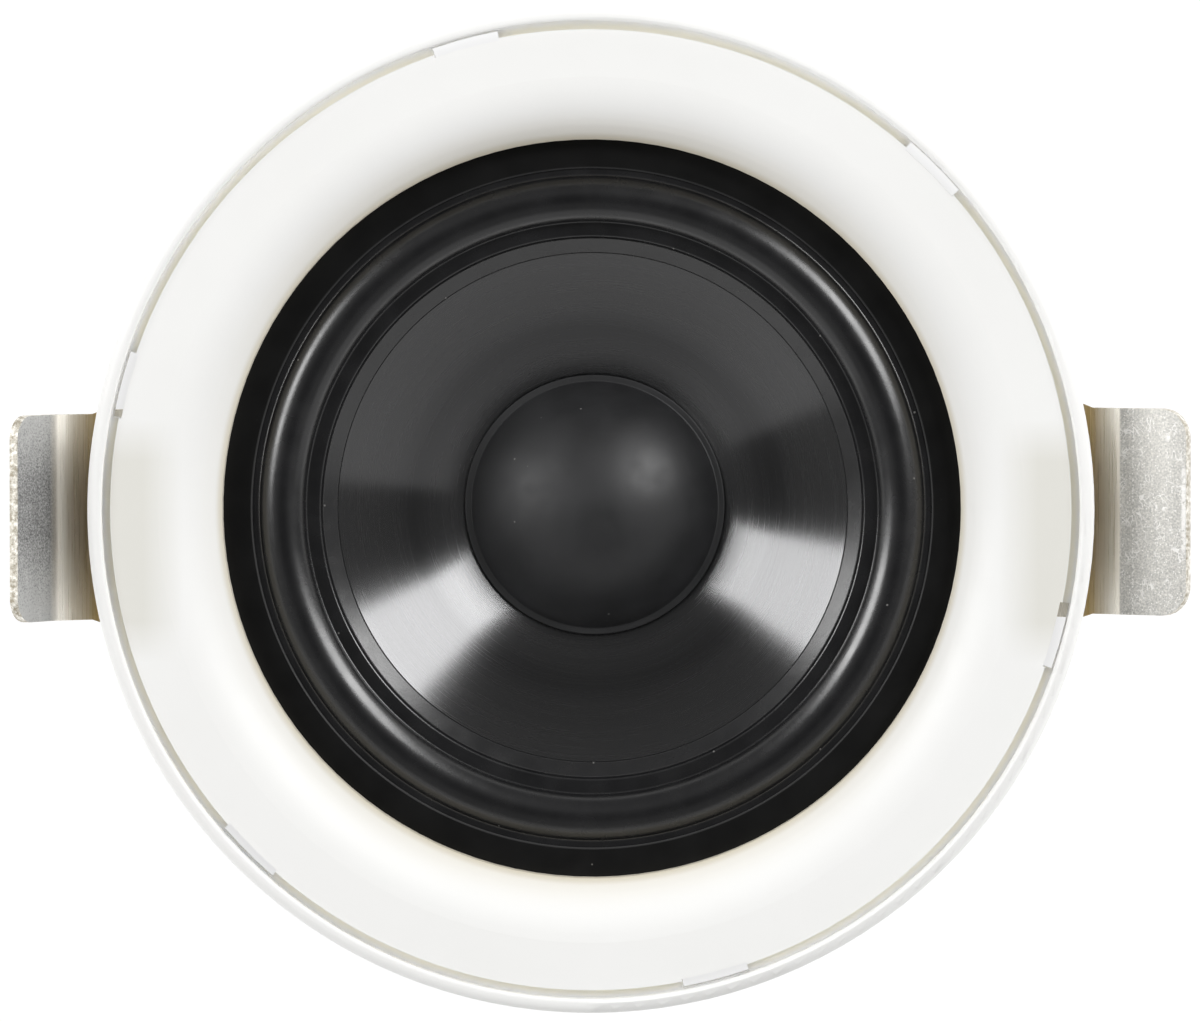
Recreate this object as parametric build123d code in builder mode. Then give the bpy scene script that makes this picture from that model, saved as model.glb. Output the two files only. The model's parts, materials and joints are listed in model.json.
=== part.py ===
from build123d import *
import os
from math import cos, radians, sin, tan

# Round in-ceiling speaker, lying on its back with its front towards +Z.
# The origin is the centre of the flange's rear face, the plane that meets the ceiling.
# The two sprung clips stand along X. All lengths are in millimetres, all angles in degrees.

# Bezel: flange, grille groove, funnel and collar in one moulding, with a recess behind for the driver
bezel_radius = 60.3
rim_front_z = 5.0
rim_round = 1.2
rim_inner_round = 0.45
groove_outer_radius = 58.55
groove_inner_radius = 57.55
groove_floor_z = 2.8
ledge_z = 4.2
throat_top_radius = 47.5
throat_angle = 55.0
throat_round = 8.4
opening_radius = 44.35
opening_round = 0.6
collar_radius = 53.2
collar_z = -8.0
seat_z = -2.6
recess_radius = 47.4
ear_room = 0.4
relief_inner_radius = 54.6
relief_outer_radius = 56.4
relief_depth = 1.8
slot_count = 6
slot_start = 45.0
slot_span = 8.0
slot_outer_radius = 58.4
slot_inner_radius = 57.25
core_radius = 49.95
core_width = 2.4
core_top_z = 1.0
core_angles = (31.0, 65.5, 90.0, 114.5, 149.0)
core_spans = (9.0, 17.0, 17.0, 17.0, 9.0)

# Driver screws, their bosses and the basket's ears
screw_count = 4
screw_start = 45.0
screw_circle_radius = 48.8
screw_shank_radius = 1.4
screw_hole_radius = 1.45
screw_depth = 4.0
screw_hole_spare = 0.5
screw_head_radius = 2.4
screw_head_height = 1.8
screw_recess_length = 3.0
screw_recess_width = 0.7
screw_recess_depth = 0.9
boss_radius = 2.4

# Front gasket, clamped between the bezel and the basket
gasket_inner_radius = 40.85
gasket_step_radius = 43.2
gasket_outer_radius = 46.2
gasket_round = 0.25
gasket_thin = 0.4
gasket_thick = 0.9

# Basket: stamped steel frame of the driver
sheet = 0.9
basket_flange_radius = 46.8
basket_flange_z = seat_z - gasket_thick
basket_throat_radius = 41.9
shelf_outer_radius = 37.6
shelf_inner_radius = 31.6
shelf_z = -21.5
motor_radius = 29.8
motor_z = -29.5
basket_bore_radius = 15.5
basket_bend = 1.2
ear_hole_radius = 1.7
ear_radius = 2.6
ear_root_radius = 43.0
window_count = 4
window_width = 42.0
window_height = 13.4
window_centre_z = -13.4
window_slant = 80.0
window_round = 3.0

# Motor: top plate, ring magnet and back plate with pole
gap_radius = 14.0
top_plate_radius = 28.0
top_plate_height = 4.0
stake_count = 4
stake_start = 45.0
stake_circle_radius = 21.0
stake_radius = 1.5
stake_height = 1.5
magnet_radius = 31.0
magnet_bore_radius = 16.0
magnet_height = 11.0
magnet_chamfer = 0.8
back_plate_radius = 28.0
back_plate_height = 4.0
back_plate_chamfer = 1.0
pole_radius = 12.1
pole_top_z = -29.0
pole_chamfer = 0.5

# Cone, dust cap and voice coil, which travel together
cone_radius = 33.0
cone_edge_z = -4.6
cone_slope = 0.70
cone_thickness = 0.65
neck_radius = 12.83
neck_wall = 0.5
neck_bottom_z = -20.4
glue_gap = 0.1
cap_radius = 15.75
cap_rim_width = 0.8
cap_rim_height = 0.55
cap_height = 9.0
cap_wall = 0.5
former_outer_radius = 12.75
former_wall = 0.3
former_top_z = -18.4
former_bottom_z = -36.5
winding_inner_radius = 12.78
winding_outer_radius = 13.35
winding_top_z = -27.0
winding_bottom_z = -36.0

# Surround: rubber roll from the basket to the cone
surround_outer_radius = 43.0
roll_outer_radius = 40.03
roll_inner_radius = 34.5
roll_height = 1.45
surround_wall = 0.5
lip_outer_radius = 32.5
lip_step = 0.2
lip_inner_radius = 30.65
lip_wall = 0.35

# Spider: corrugated disc that centres the coil
spider_wall = 0.4
spider_wave_start = 14.0
spider_wave_end = 31.0
spider_wave_count = 9
spider_wave_height = 0.7
spider_rim_radius = 36.4

# Terminals on the -Y side and their leads to the cone
lug_half_width = 6.0
lug_outer_y = -44.0
lug_root_y = -36.6
board_half_width = 13.0
board_outer_y = -47.0
board_inner_y = -38.5
board_height = 1.5
tab_x = 9.0
tab_outer_y = -50.5
tab_inner_y = -39.0
tab_height = 0.8
tab_wide = 4.8
tab_narrow = 2.8
tab_hole_radius = 0.7
rivet_y = -41.2
rivet_radius = 1.2
rivet_head_radius = 2.2
rivet_head_height = 0.6
lead_radius = 0.5
lead_cone_radius = 22.6
lead_bend_share = 0.45

# Waypoints of the right lead, from its tab's inner end and then from its joint on the cone
lead_from_tab = ((0, -2.2, 0), (-0.4, 0.4, 0.6), (-1.2, 3.8, 3.6), (-2.2, 8.4, 4.8))
lead_to_cone = ((0.8, -3.8, -1.6), (0, 0, 0))
lead_cone_x = 5.0

# Clips: plated steel flaps rolled round a pin, each pushed forwards by a torsion spring
clip_sheet = 1.2
clip_angle = 36.0
clip_arm_width = 25.8
clip_tab_width = 24.8
clip_flare_start = 58.9
clip_flare_end = 60.2
clip_bend = 1.6
clip_notch_width = 11.2
clip_notch_reach = 7.6
clip_clearance = 0.45
pin_radius = 1.25
pin_head_radius = 2.0
pin_head_height = 0.7
knuckle_bore = 1.3
pivot_x = 47.6
lug_radius = 2.7
lug_thickness = 2.6
lug_centre_y = 15.5
pin_hole_radius = 1.28
bend_reach = {"right": 63.4, "left": 64.4}
tab_length = {"right": 9.0, "left": 8.3}
tab_angle = {"right": 29.0, "left": 61.0}
tab_corner = {"right": 3.5, "left": 2.9}
clip_shift = {"right": -0.25, "left": -1.1}
spring_radius = 2.25
spring_wire = 0.9
spring_pitch = 1.15
spring_entry_angle = 150.0
spring_leg_angle = 14.0
spring_turns = 3
spring_fixed_leg = 8.6
spring_moving_leg = 12.0
anchor_hole_radius = 0.65

# The clip's front face just clears the collar's rear edge and runs out at clip_angle.
knuckle_radius = knuckle_bore + clip_sheet
clip_rise = tan(radians(clip_angle))
clip_front_at_collar = collar_z - clip_clearance
clip_front_at_pivot = clip_front_at_collar - clip_rise * (collar_radius - pivot_x)
pivot_z = clip_front_at_pivot - knuckle_radius / cos(radians(clip_angle))
sides = {"right": 1, "left": -1}
os.makedirs("parts", exist_ok=True)


def side_plane(side, y=0.0):
    """Plane square to Y, with its x axis outwards on that side and its y axis along +Z."""
    return Plane(origin=(0, y, 0), x_dir=(side, 0, 0), z_dir=(0, -side, 0))


def heading(angle):
    """Unit vector at an angle up from outwards, in a side plane."""
    return Vector(cos(radians(angle)), sin(radians(angle)))


def cone_front_z(radius):
    """Height of the cone's front face at a radius."""
    return cone_edge_z - cone_slope * (cone_radius - radius)


def nearest(shapes, spot):
    """The vertex or edge that lies closest to a spot."""
    return shapes.sort_by_distance(spot)[0]


def bend_radii(route, share):
    """Radius for each inner corner of a route, so that its bend takes a share of the shorter run."""
    radii = []
    for before, corner, after in zip(route, route[1:], route[2:]):
        run_in = corner - before
        run_out = after - corner
        half_turn = radians(run_in.get_angle(run_out) / 2)
        radii.append(share * min(run_in.length, run_out.length) / tan(half_turn))
    return radii


def finish(part, name):
    """Label a finished piece and write it."""
    part.label = name
    export_step(part, f"parts/{name}.step")


def spring_helix(side):
    """Centre line of a clip spring's coil, from the anchored leg to the moving leg."""
    exit_angle = clip_angle + spring_leg_angle - 90.0
    turns = spring_turns + (exit_angle + 360.0 - spring_entry_angle) / 360.0
    height = turns * spring_pitch
    entry = heading(spring_entry_angle)
    placed = Plane(
        origin=(side * pivot_x, side * height / 2, pivot_z),
        x_dir=(side * entry.X, 0, entry.Y),
        z_dir=(0, -side, 0),
    )
    return placed * Helix(spring_pitch, height, spring_radius)


helix = {name: spring_helix(side) for name, side in sides.items()}

# Bezel, turned from its outline
opening_front_z = ledge_z - (throat_top_radius - opening_radius) * tan(radians(throat_angle))
ear_length = screw_circle_radius - ear_root_radius
with BuildPart() as bezel:
    with BuildSketch(Plane.XZ):
        with BuildLine():
            Polyline(
                (collar_radius, collar_z),
                (collar_radius, 0),
                (relief_inner_radius, 0),
                (relief_inner_radius, relief_depth),
                (relief_outer_radius, relief_depth),
                (relief_outer_radius, 0),
                (bezel_radius, 0),
                (bezel_radius, rim_front_z),
                (groove_outer_radius, rim_front_z),
                (groove_outer_radius, groove_floor_z),
                (groove_inner_radius, groove_floor_z),
                (groove_inner_radius, ledge_z),
                (throat_top_radius, ledge_z),
                (opening_radius, opening_front_z),
                (opening_radius, seat_z),
                (recess_radius, seat_z),
                (recess_radius, collar_z),
                close=True,
            )
        make_face()
        fillet(nearest(vertices(), (bezel_radius, rim_front_z)), rim_round)
        fillet(nearest(vertices(), (groove_outer_radius, rim_front_z)), rim_inner_round)
        fillet(nearest(vertices(), (throat_top_radius, ledge_z)), throat_round)
        fillet(nearest(vertices(), (opening_radius, opening_front_z)), opening_round)
    revolve(axis=Axis.Z)

    # Through slots for the grille's tabs, along the groove and into the ledge's edge
    for index in range(slot_count):
        slot_angle = slot_start - slot_span / 2 + index * 360 / slot_count
        with BuildSketch(Plane.XZ.rotated((0, 0, slot_angle))):
            with Locations((slot_inner_radius, 0)):
                Rectangle(slot_outer_radius - slot_inner_radius, ledge_z, align=(Align.MIN, Align.MIN))
        revolve(axis=Axis.Z, revolution_arc=slot_span, mode=Mode.SUBTRACT)

    # Coring pockets behind the funnel, with ribs left between them
    with BuildSketch(Plane.XY.offset(collar_z)):
        for angle, span in zip(core_angles, core_spans):
            core_arc = CenterArc((0, 0), core_radius, -span / 2, span, mode=Mode.PRIVATE)
            with PolarLocations(0, 2, angle):
                SlotArc(core_arc, core_width)
    extrude(amount=core_top_z - collar_z, mode=Mode.SUBTRACT)

    # Pockets in the collar for the basket's ears, and bosses in them for the screws
    with BuildSketch(Plane.XY.offset(collar_z)):
        with PolarLocations(screw_circle_radius - ear_length / 2, screw_count, screw_start):
            SlotCenterToCenter(ear_length, 2 * (ear_radius + ear_room))
    extrude(amount=seat_z - collar_z, mode=Mode.SUBTRACT)
    with BuildSketch(Plane.XY.offset(seat_z)):
        with PolarLocations(screw_circle_radius, screw_count, screw_start):
            Circle(boss_radius)
    extrude(amount=basket_flange_z - seat_z)
    with BuildSketch(Plane.XY.offset(basket_flange_z)):
        with PolarLocations(screw_circle_radius, screw_count, screw_start):
            Circle(screw_hole_radius)
    extrude(amount=screw_depth + screw_hole_spare, mode=Mode.SUBTRACT)

    # Hinge lugs for the clips, and the hole that holds each spring's fixed leg
    for name, side in sides.items():
        for end in (1, -1):
            with BuildSketch(side_plane(side, end * lug_centre_y)):
                with Locations((pivot_x, pivot_z)):
                    Circle(lug_radius)
                    Rectangle(2 * lug_radius, collar_z - pivot_z, align=(Align.CENTER, Align.MIN))
                with Locations((pivot_x, pivot_z)):
                    Circle(pin_hole_radius, mode=Mode.SUBTRACT)
            extrude(amount=lug_thickness / 2, both=True)
        hole_top = helix[name] @ 0 - (spring_fixed_leg + glue_gap) * (helix[name] % 0)
        with BuildSketch(Plane(origin=hole_top, z_dir=helix[name] % 0)):
            Circle(anchor_hole_radius)
        extrude(amount=spring_fixed_leg / 2, mode=Mode.SUBTRACT)
finish(bezel.part, "bezel")

# Gasket ring with a step that makes room for the surround's flange
with BuildPart() as front_gasket:
    with BuildSketch(Plane.XZ):
        with BuildLine():
            Polyline(
                (gasket_inner_radius, seat_z),
                (gasket_outer_radius, seat_z),
                (gasket_outer_radius, seat_z - gasket_thick),
                (gasket_step_radius, seat_z - gasket_thick),
                (gasket_step_radius, seat_z - gasket_thin),
                (gasket_inner_radius, seat_z - gasket_thin),
                close=True,
            )
        make_face()
        fillet(nearest(vertices(), (gasket_inner_radius, seat_z)), gasket_round)
    revolve(axis=Axis.Z)
finish(front_gasket.part, "front_gasket")

# Basket, drawn as the lower face of the sheet and thickened upwards
with BuildPart() as basket:
    with BuildSketch(Plane.XZ):
        with BuildLine():
            FilletPolyline(
                (basket_flange_radius, basket_flange_z - sheet),
                (basket_throat_radius, basket_flange_z - sheet),
                (shelf_outer_radius, shelf_z - sheet),
                (shelf_inner_radius, shelf_z - sheet),
                (motor_radius, motor_z),
                (basket_bore_radius, motor_z),
                radius=basket_bend,
            )
            offset(amount=sheet, side=Side.RIGHT, mode=Mode.ADD)
        make_face()
    revolve(axis=Axis.Z)

    # Ears for the screws and a lug for the terminal board
    with BuildSketch(Plane.XY.offset(basket_flange_z - sheet)):
        with PolarLocations(screw_circle_radius - ear_length / 2, screw_count, screw_start):
            SlotCenterToCenter(ear_length, 2 * ear_radius)
    extrude(amount=sheet)
    with BuildSketch(Plane.XY.offset(shelf_z - sheet)):
        with Locations((0, lug_outer_y)):
            Rectangle(2 * lug_half_width, lug_root_y - lug_outer_y, align=(Align.CENTER, Align.MIN))
    extrude(amount=sheet)
    with BuildSketch(Plane.XY.offset(basket_flange_z - sheet)):
        with PolarLocations(screw_circle_radius, screw_count, screw_start):
            Circle(ear_hole_radius)
    extrude(amount=sheet, mode=Mode.SUBTRACT)
    with BuildSketch(Plane.XY.offset(shelf_z - sheet)):
        with Locations((0, rivet_y)):
            Circle(rivet_radius)
    extrude(amount=sheet, mode=Mode.SUBTRACT)

    # Windows between the spokes, and holes for the top plate's stakes
    for index in range(window_count):
        outwards = Vector(1, 0, 0).rotate(Axis.Z, index * 360 / window_count)
        window_plane = Plane(
            origin=outwards * basket_bore_radius + Vector(0, 0, window_centre_z),
            x_dir=Vector(0, 0, 1).cross(outwards),
            z_dir=outwards,
        )
        with BuildSketch(window_plane):
            Trapezoid(window_width, window_height, window_slant, rotation=180)
            fillet(vertices(), window_round)
        extrude(amount=basket_flange_radius - basket_bore_radius, mode=Mode.SUBTRACT)
    with BuildSketch(Plane.XY.offset(motor_z)):
        with PolarLocations(stake_circle_radius, stake_count, stake_start):
            Circle(stake_radius + glue_gap)
    extrude(amount=sheet, mode=Mode.SUBTRACT)
finish(basket.part, "basket")

# Motor parts
with BuildPart() as top_plate:
    with BuildSketch(Plane.XY.offset(motor_z)):
        Circle(top_plate_radius)
        Circle(gap_radius, mode=Mode.SUBTRACT)
    extrude(amount=-top_plate_height)
    with BuildSketch(Plane.XY.offset(motor_z)):
        with PolarLocations(stake_circle_radius, stake_count, stake_start):
            Circle(stake_radius)
    extrude(amount=stake_height)
finish(top_plate.part, "top_plate")

magnet_top_z = motor_z - top_plate_height
with BuildPart() as magnet:
    with BuildSketch(Plane.XY.offset(magnet_top_z)):
        Circle(magnet_radius)
        Circle(magnet_bore_radius, mode=Mode.SUBTRACT)
    extrude(amount=-magnet_height)
    rims = magnet.edges().filter_by(GeomType.CIRCLE).sort_by(SortBy.RADIUS)[-2:]
    chamfer(rims, magnet_chamfer)
finish(magnet.part, "magnet")

back_plate_top_z = magnet_top_z - magnet_height
with BuildPart() as back_plate:
    with BuildSketch(Plane.XZ):
        with BuildLine():
            Polyline(
                (0, pole_top_z),
                (pole_radius, pole_top_z),
                (pole_radius, back_plate_top_z),
                (back_plate_radius, back_plate_top_z),
                (back_plate_radius, back_plate_top_z - back_plate_height),
                (0, back_plate_top_z - back_plate_height),
                close=True,
            )
        make_face()
        chamfer(nearest(vertices(), (pole_radius, pole_top_z)), pole_chamfer)
        chamfer(
            nearest(vertices(), (back_plate_radius, back_plate_top_z - back_plate_height)),
            back_plate_chamfer,
        )
    revolve(axis=Axis.Z)
finish(back_plate.part, "back_plate")

# Cone with its straight wall and the neck that holds the coil former
with BuildPart() as cone:
    with BuildSketch(Plane.XZ):
        with BuildLine():
            Polyline(
                (cone_radius, cone_edge_z),
                (neck_radius, cone_front_z(neck_radius)),
                (neck_radius, neck_bottom_z),
                (neck_radius + neck_wall, neck_bottom_z),
                (neck_radius + neck_wall, cone_front_z(neck_radius + neck_wall) - cone_thickness),
                (cone_radius, cone_edge_z - cone_thickness),
                close=True,
            )
        make_face()
    revolve(axis=Axis.Z)
finish(cone.part, "cone")

# Dust cap: round dome with a flat rim seated on the cone
cap_seat_z = cone_front_z(cap_radius) + glue_gap
cap_rim_z = cap_seat_z + cap_rim_height
dome_radius = cap_radius - cap_rim_width
foot_radius = dome_radius - cap_wall
with BuildPart() as dust_cap:
    with BuildSketch(Plane.XZ):
        with BuildLine():
            Line((cap_radius, cap_seat_z), (cap_radius, cap_rim_z))
            Line((cap_radius, cap_rim_z), (dome_radius, cap_rim_z))
            TangentArc((0, cap_rim_z + cap_height), (dome_radius, cap_rim_z), tangent=(1, 0))
            Line((0, cap_rim_z + cap_height), (0, cap_rim_z + cap_height - cap_wall))
            TangentArc(
                (0, cap_rim_z + cap_height - cap_wall),
                (foot_radius, cap_rim_z - cap_wall),
                tangent=(1, 0),
            )
            Line(
                (foot_radius, cap_rim_z - cap_wall),
                (dome_radius, cone_front_z(dome_radius) + glue_gap),
            )
            Line((dome_radius, cone_front_z(dome_radius) + glue_gap), (cap_radius, cap_seat_z))
        make_face()
    revolve(axis=Axis.Z)
finish(dust_cap.part, "dust_cap")

with BuildPart() as coil_former:
    with BuildSketch(Plane.XY.offset(former_top_z)):
        Circle(former_outer_radius)
        Circle(former_outer_radius - former_wall, mode=Mode.SUBTRACT)
    extrude(amount=former_bottom_z - former_top_z)
finish(coil_former.part, "coil_former")

with BuildPart() as coil_winding:
    with BuildSketch(Plane.XY.offset(winding_top_z)):
        Circle(winding_outer_radius)
        Circle(winding_inner_radius, mode=Mode.SUBTRACT)
    extrude(amount=winding_bottom_z - winding_top_z)
finish(coil_winding.part, "coil_winding")

# Surround: clamped flange, low roll, flat ring over the cone's edge and the lip glued on the cone
roll_centre = (roll_outer_radius + roll_inner_radius) / 2
roll_base_z = seat_z - gasket_thin
lip_outer_z = cone_front_z(lip_outer_radius) + glue_gap
lip_inner_z = cone_front_z(lip_inner_radius) + glue_gap
ring_under_z = cone_edge_z + glue_gap
ring_top_z = ring_under_z + surround_wall
with BuildPart() as surround:
    with BuildSketch(Plane.XZ):
        with BuildLine():
            Polyline(
                (roll_outer_radius, roll_base_z),
                (surround_outer_radius, roll_base_z),
                (surround_outer_radius, roll_base_z - surround_wall),
                (roll_outer_radius - surround_wall, roll_base_z - surround_wall),
                (roll_outer_radius - surround_wall, roll_base_z),
            )
            ThreePointArc(
                (roll_outer_radius - surround_wall, roll_base_z),
                (roll_centre, roll_base_z + roll_height - surround_wall),
                (roll_inner_radius + surround_wall, roll_base_z),
            )
            Polyline(
                (roll_inner_radius + surround_wall, roll_base_z),
                (roll_inner_radius + surround_wall, ring_under_z),
                (cone_radius, ring_under_z),
                (lip_inner_radius, lip_inner_z),
                (lip_inner_radius, lip_inner_z + lip_wall),
                (lip_outer_radius, lip_outer_z + lip_wall),
                (lip_outer_radius + lip_step, ring_top_z),
                (roll_inner_radius, ring_top_z),
                (roll_inner_radius, roll_base_z),
            )
            ThreePointArc(
                (roll_inner_radius, roll_base_z),
                (roll_centre, roll_base_z + roll_height),
                (roll_outer_radius, roll_base_z),
            )
        make_face()
    revolve(axis=Axis.Z)
finish(surround.part, "surround")

# Spider: flat rim on the basket's shelf, corrugations, and a collar round the coil former
spider_top_z = shelf_z + glue_gap + spider_wall
wave_step = (spider_wave_end - spider_wave_start) / spider_wave_count
spider_top = [(neck_radius, spider_top_z), (spider_wave_start, spider_top_z)]
for index in range(1, spider_wave_count):
    crest = spider_wave_height if index % 2 else -spider_wave_height
    spider_top.append((spider_wave_start + index * wave_step, spider_top_z + crest))
spider_top += [(spider_wave_end, spider_top_z), (spider_rim_radius, spider_top_z)]
spider_under = [(radius, height - spider_wall) for radius, height in reversed(spider_top)]
with BuildPart() as spider:
    with BuildSketch(Plane.XZ):
        with BuildLine():
            Polyline(*spider_top, *spider_under, close=True)
        make_face()
    revolve(axis=Axis.Z)
finish(spider.part, "spider")

# Terminal board under the basket's lug
board_top_z = shelf_z - sheet
board_depth = board_inner_y - board_outer_y
with BuildPart() as terminal_board:
    with BuildSketch(Plane.XY.offset(board_top_z)):
        with Locations((0, board_outer_y)):
            Rectangle(2 * board_half_width, board_depth, align=(Align.CENTER, Align.MIN))
        fillet(vertices(), rivet_radius)
        with Locations((0, rivet_y)):
            Circle(rivet_radius, mode=Mode.SUBTRACT)
    extrude(amount=-board_height)
finish(terminal_board.part, "terminal_board")

with BuildPart() as terminal_rivet:
    with BuildSketch(Plane.XY.offset(shelf_z)):
        with Locations((0, rivet_y)):
            Circle(rivet_radius)
    extrude(amount=-sheet - board_height)
    for face_z, height in ((shelf_z, rivet_head_height), (board_top_z - board_height, -rivet_head_height)):
        with BuildSketch(Plane.XY.offset(face_z)):
            with Locations((0, rivet_y)):
                Circle(rivet_head_radius)
        extrude(amount=height)
finish(terminal_rivet.part, "terminal_rivet")

# Blade tabs, wide for plus and narrow for minus, with a solder eye at the inner end
tabs = {"terminal_tab_wide": (tab_x, tab_wide), "terminal_tab_narrow": (-tab_x, tab_narrow)}
for name, (x, width) in tabs.items():
    with BuildPart() as terminal_tab:
        with BuildSketch(Plane.XY.offset(board_top_z)):
            with Locations((x, tab_outer_y)):
                Rectangle(width, tab_inner_y - tab_outer_y, align=(Align.CENTER, Align.MIN))
            chamfer(vertices().group_by(Axis.Y)[0], tab_height)
            with Locations((x, tab_inner_y - 2 * tab_hole_radius)):
                Circle(tab_hole_radius, mode=Mode.SUBTRACT)
        extrude(amount=tab_height)
    finish(terminal_tab.part, name)

# Tinsel leads, looped from the solder eyes through the window to the back of the cone
lead_start_z = board_top_z + tab_height + lead_radius
lead_end_z = cone_front_z(lead_cone_radius) - cone_thickness - lead_radius - glue_gap
lead_route = [Vector(tab_x, tab_inner_y, lead_start_z) + Vector(step) for step in lead_from_tab]
lead_route += [Vector(lead_cone_x, -lead_cone_radius, lead_end_z) + Vector(step) for step in lead_to_cone]
lead_bends = bend_radii(lead_route, lead_bend_share)
for name, side in sides.items():
    with BuildPart() as tinsel_lead:
        with BuildLine() as lead_line:
            FilletPolyline([(side * point.X, point.Y, point.Z) for point in lead_route], radius=lead_bends)
        with BuildSketch(Plane(origin=lead_line.wire() @ 0, z_dir=lead_line.wire() % 0)):
            Circle(lead_radius)
        sweep(path=lead_line.wire())
    finish(tinsel_lead.part, f"tinsel_lead_{name}")

# Four pan head screws with a cross recess, driven from behind
head_z = basket_flange_z - sheet
with BuildPart() as driver_screws:
    with BuildSketch(Plane.XY.offset(head_z)):
        with PolarLocations(screw_circle_radius, screw_count, screw_start):
            Circle(screw_shank_radius)
    extrude(amount=sheet + screw_depth)
    with BuildSketch(Plane.XY.offset(head_z)):
        with PolarLocations(screw_circle_radius, screw_count, screw_start):
            Circle(screw_head_radius)
    extrude(amount=-screw_head_height)
    chamfer(driver_screws.faces().group_by(Axis.Z)[0].edges(), screw_head_height / 3)
    with BuildSketch(Plane.XY.offset(head_z - screw_head_height)):
        with PolarLocations(screw_circle_radius, screw_count, screw_start):
            Rectangle(screw_recess_length, screw_recess_width)
            Rectangle(screw_recess_width, screw_recess_length)
    extrude(amount=screw_recess_depth, mode=Mode.SUBTRACT)
finish(driver_screws.part, "driver_screws")

# Clips with their pins and springs, one set on each side
for name, side in sides.items():
    pivot = Vector(pivot_x, pivot_z)
    arm_start = pivot + heading(clip_angle + 90) * knuckle_radius
    bend = Vector(bend_reach[name], clip_front_at_collar + clip_rise * (bend_reach[name] - collar_radius))
    tip = bend + heading(tab_angle[name]) * tab_length[name]
    shift = clip_shift[name]
    with BuildPart() as clip:
        with BuildSketch(side_plane(side, shift)):
            with BuildLine():
                FilletPolyline(arm_start, bend, tip, radius=clip_bend)
                offset(amount=clip_sheet, side=Side.RIGHT, mode=Mode.ADD)
            make_face()
            with Locations((pivot_x, pivot_z)):
                Circle(knuckle_radius)
                Circle(knuckle_bore, mode=Mode.SUBTRACT)
        extrude(amount=clip_arm_width / 2, both=True)

        # The sides step in to the narrower tab
        across = heading(tab_angle[name] - 90)
        through_sheet = Axis((0, 0, 0), (side * across.X, 0, across.Y))
        for end in (1, -1):
            arm_y = shift + end * clip_arm_width / 2
            tab_y = shift + end * clip_tab_width / 2
            with BuildSketch(Plane.XY):
                with BuildLine():
                    Polyline(
                        (side * clip_flare_start, arm_y),
                        (side * clip_flare_end, tab_y),
                        (side * 2 * bezel_radius, tab_y),
                        (side * 2 * bezel_radius, arm_y),
                        close=True,
                    )
                make_face()
            extrude(amount=bezel_radius, both=True, mode=Mode.SUBTRACT)
            sheet_edges = clip.edges().filter_by(through_sheet)
            fillet(nearest(sheet_edges, (side * tip.X, tab_y, tip.Y)), tab_corner[name])

        # Notch in the root where the spring's coil sits
        with BuildSketch(side_plane(side, shift)):
            with Locations(Location((pivot_x, pivot_z), clip_angle)):
                Rectangle(2 * clip_notch_reach, 4 * knuckle_radius)
        extrude(amount=clip_notch_width / 2, both=True, mode=Mode.SUBTRACT)
    finish(clip.part, f"clip_{name}")

    pin_half = lug_centre_y + lug_thickness / 2
    with BuildPart() as clip_pin:
        with BuildSketch(side_plane(side)):
            with Locations((pivot_x, pivot_z)):
                Circle(pin_radius)
        extrude(amount=pin_half + pin_head_height, both=True)
        with BuildSketch(side_plane(side, side * pin_half)):
            with Locations((pivot_x, pivot_z)):
                Circle(pin_head_radius)
        extrude(amount=-pin_head_height)
    finish(clip_pin.part, f"clip_pin_{name}")

    coil = helix[name]
    with BuildPart() as clip_spring:
        with BuildSketch(Plane(origin=coil @ 0, z_dir=coil % 0)):
            Circle(spring_wire / 2)
        sweep(path=coil, is_frenet=True)
        with BuildSketch(Plane(origin=coil @ 0, z_dir=coil % 0)):
            Circle(spring_wire / 2)
        extrude(amount=-spring_fixed_leg)
        with BuildSketch(Plane(origin=coil @ 1, z_dir=coil % 1)):
            Circle(spring_wire / 2)
        extrude(amount=spring_moving_leg)
    finish(clip_spring.part, f"clip_spring_{name}")
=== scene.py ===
# %% [markdown]
# A round in-ceiling speaker, seen from the front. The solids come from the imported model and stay
# where they are. This lesson dresses them: finer meshes where the eye rests longest, such as the
# rubber roll and the cone, and a finish worked out in nodes for every surface. Painted pictures could
# serve as finishes too, but nodes stay sharp at any distance.

# %% Load the fixed frame
import json
from math import ceil, cos, pi, radians, sin, tan

import bmesh
import bpy
import numpy as np
from mathutils import Matrix, Vector


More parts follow.
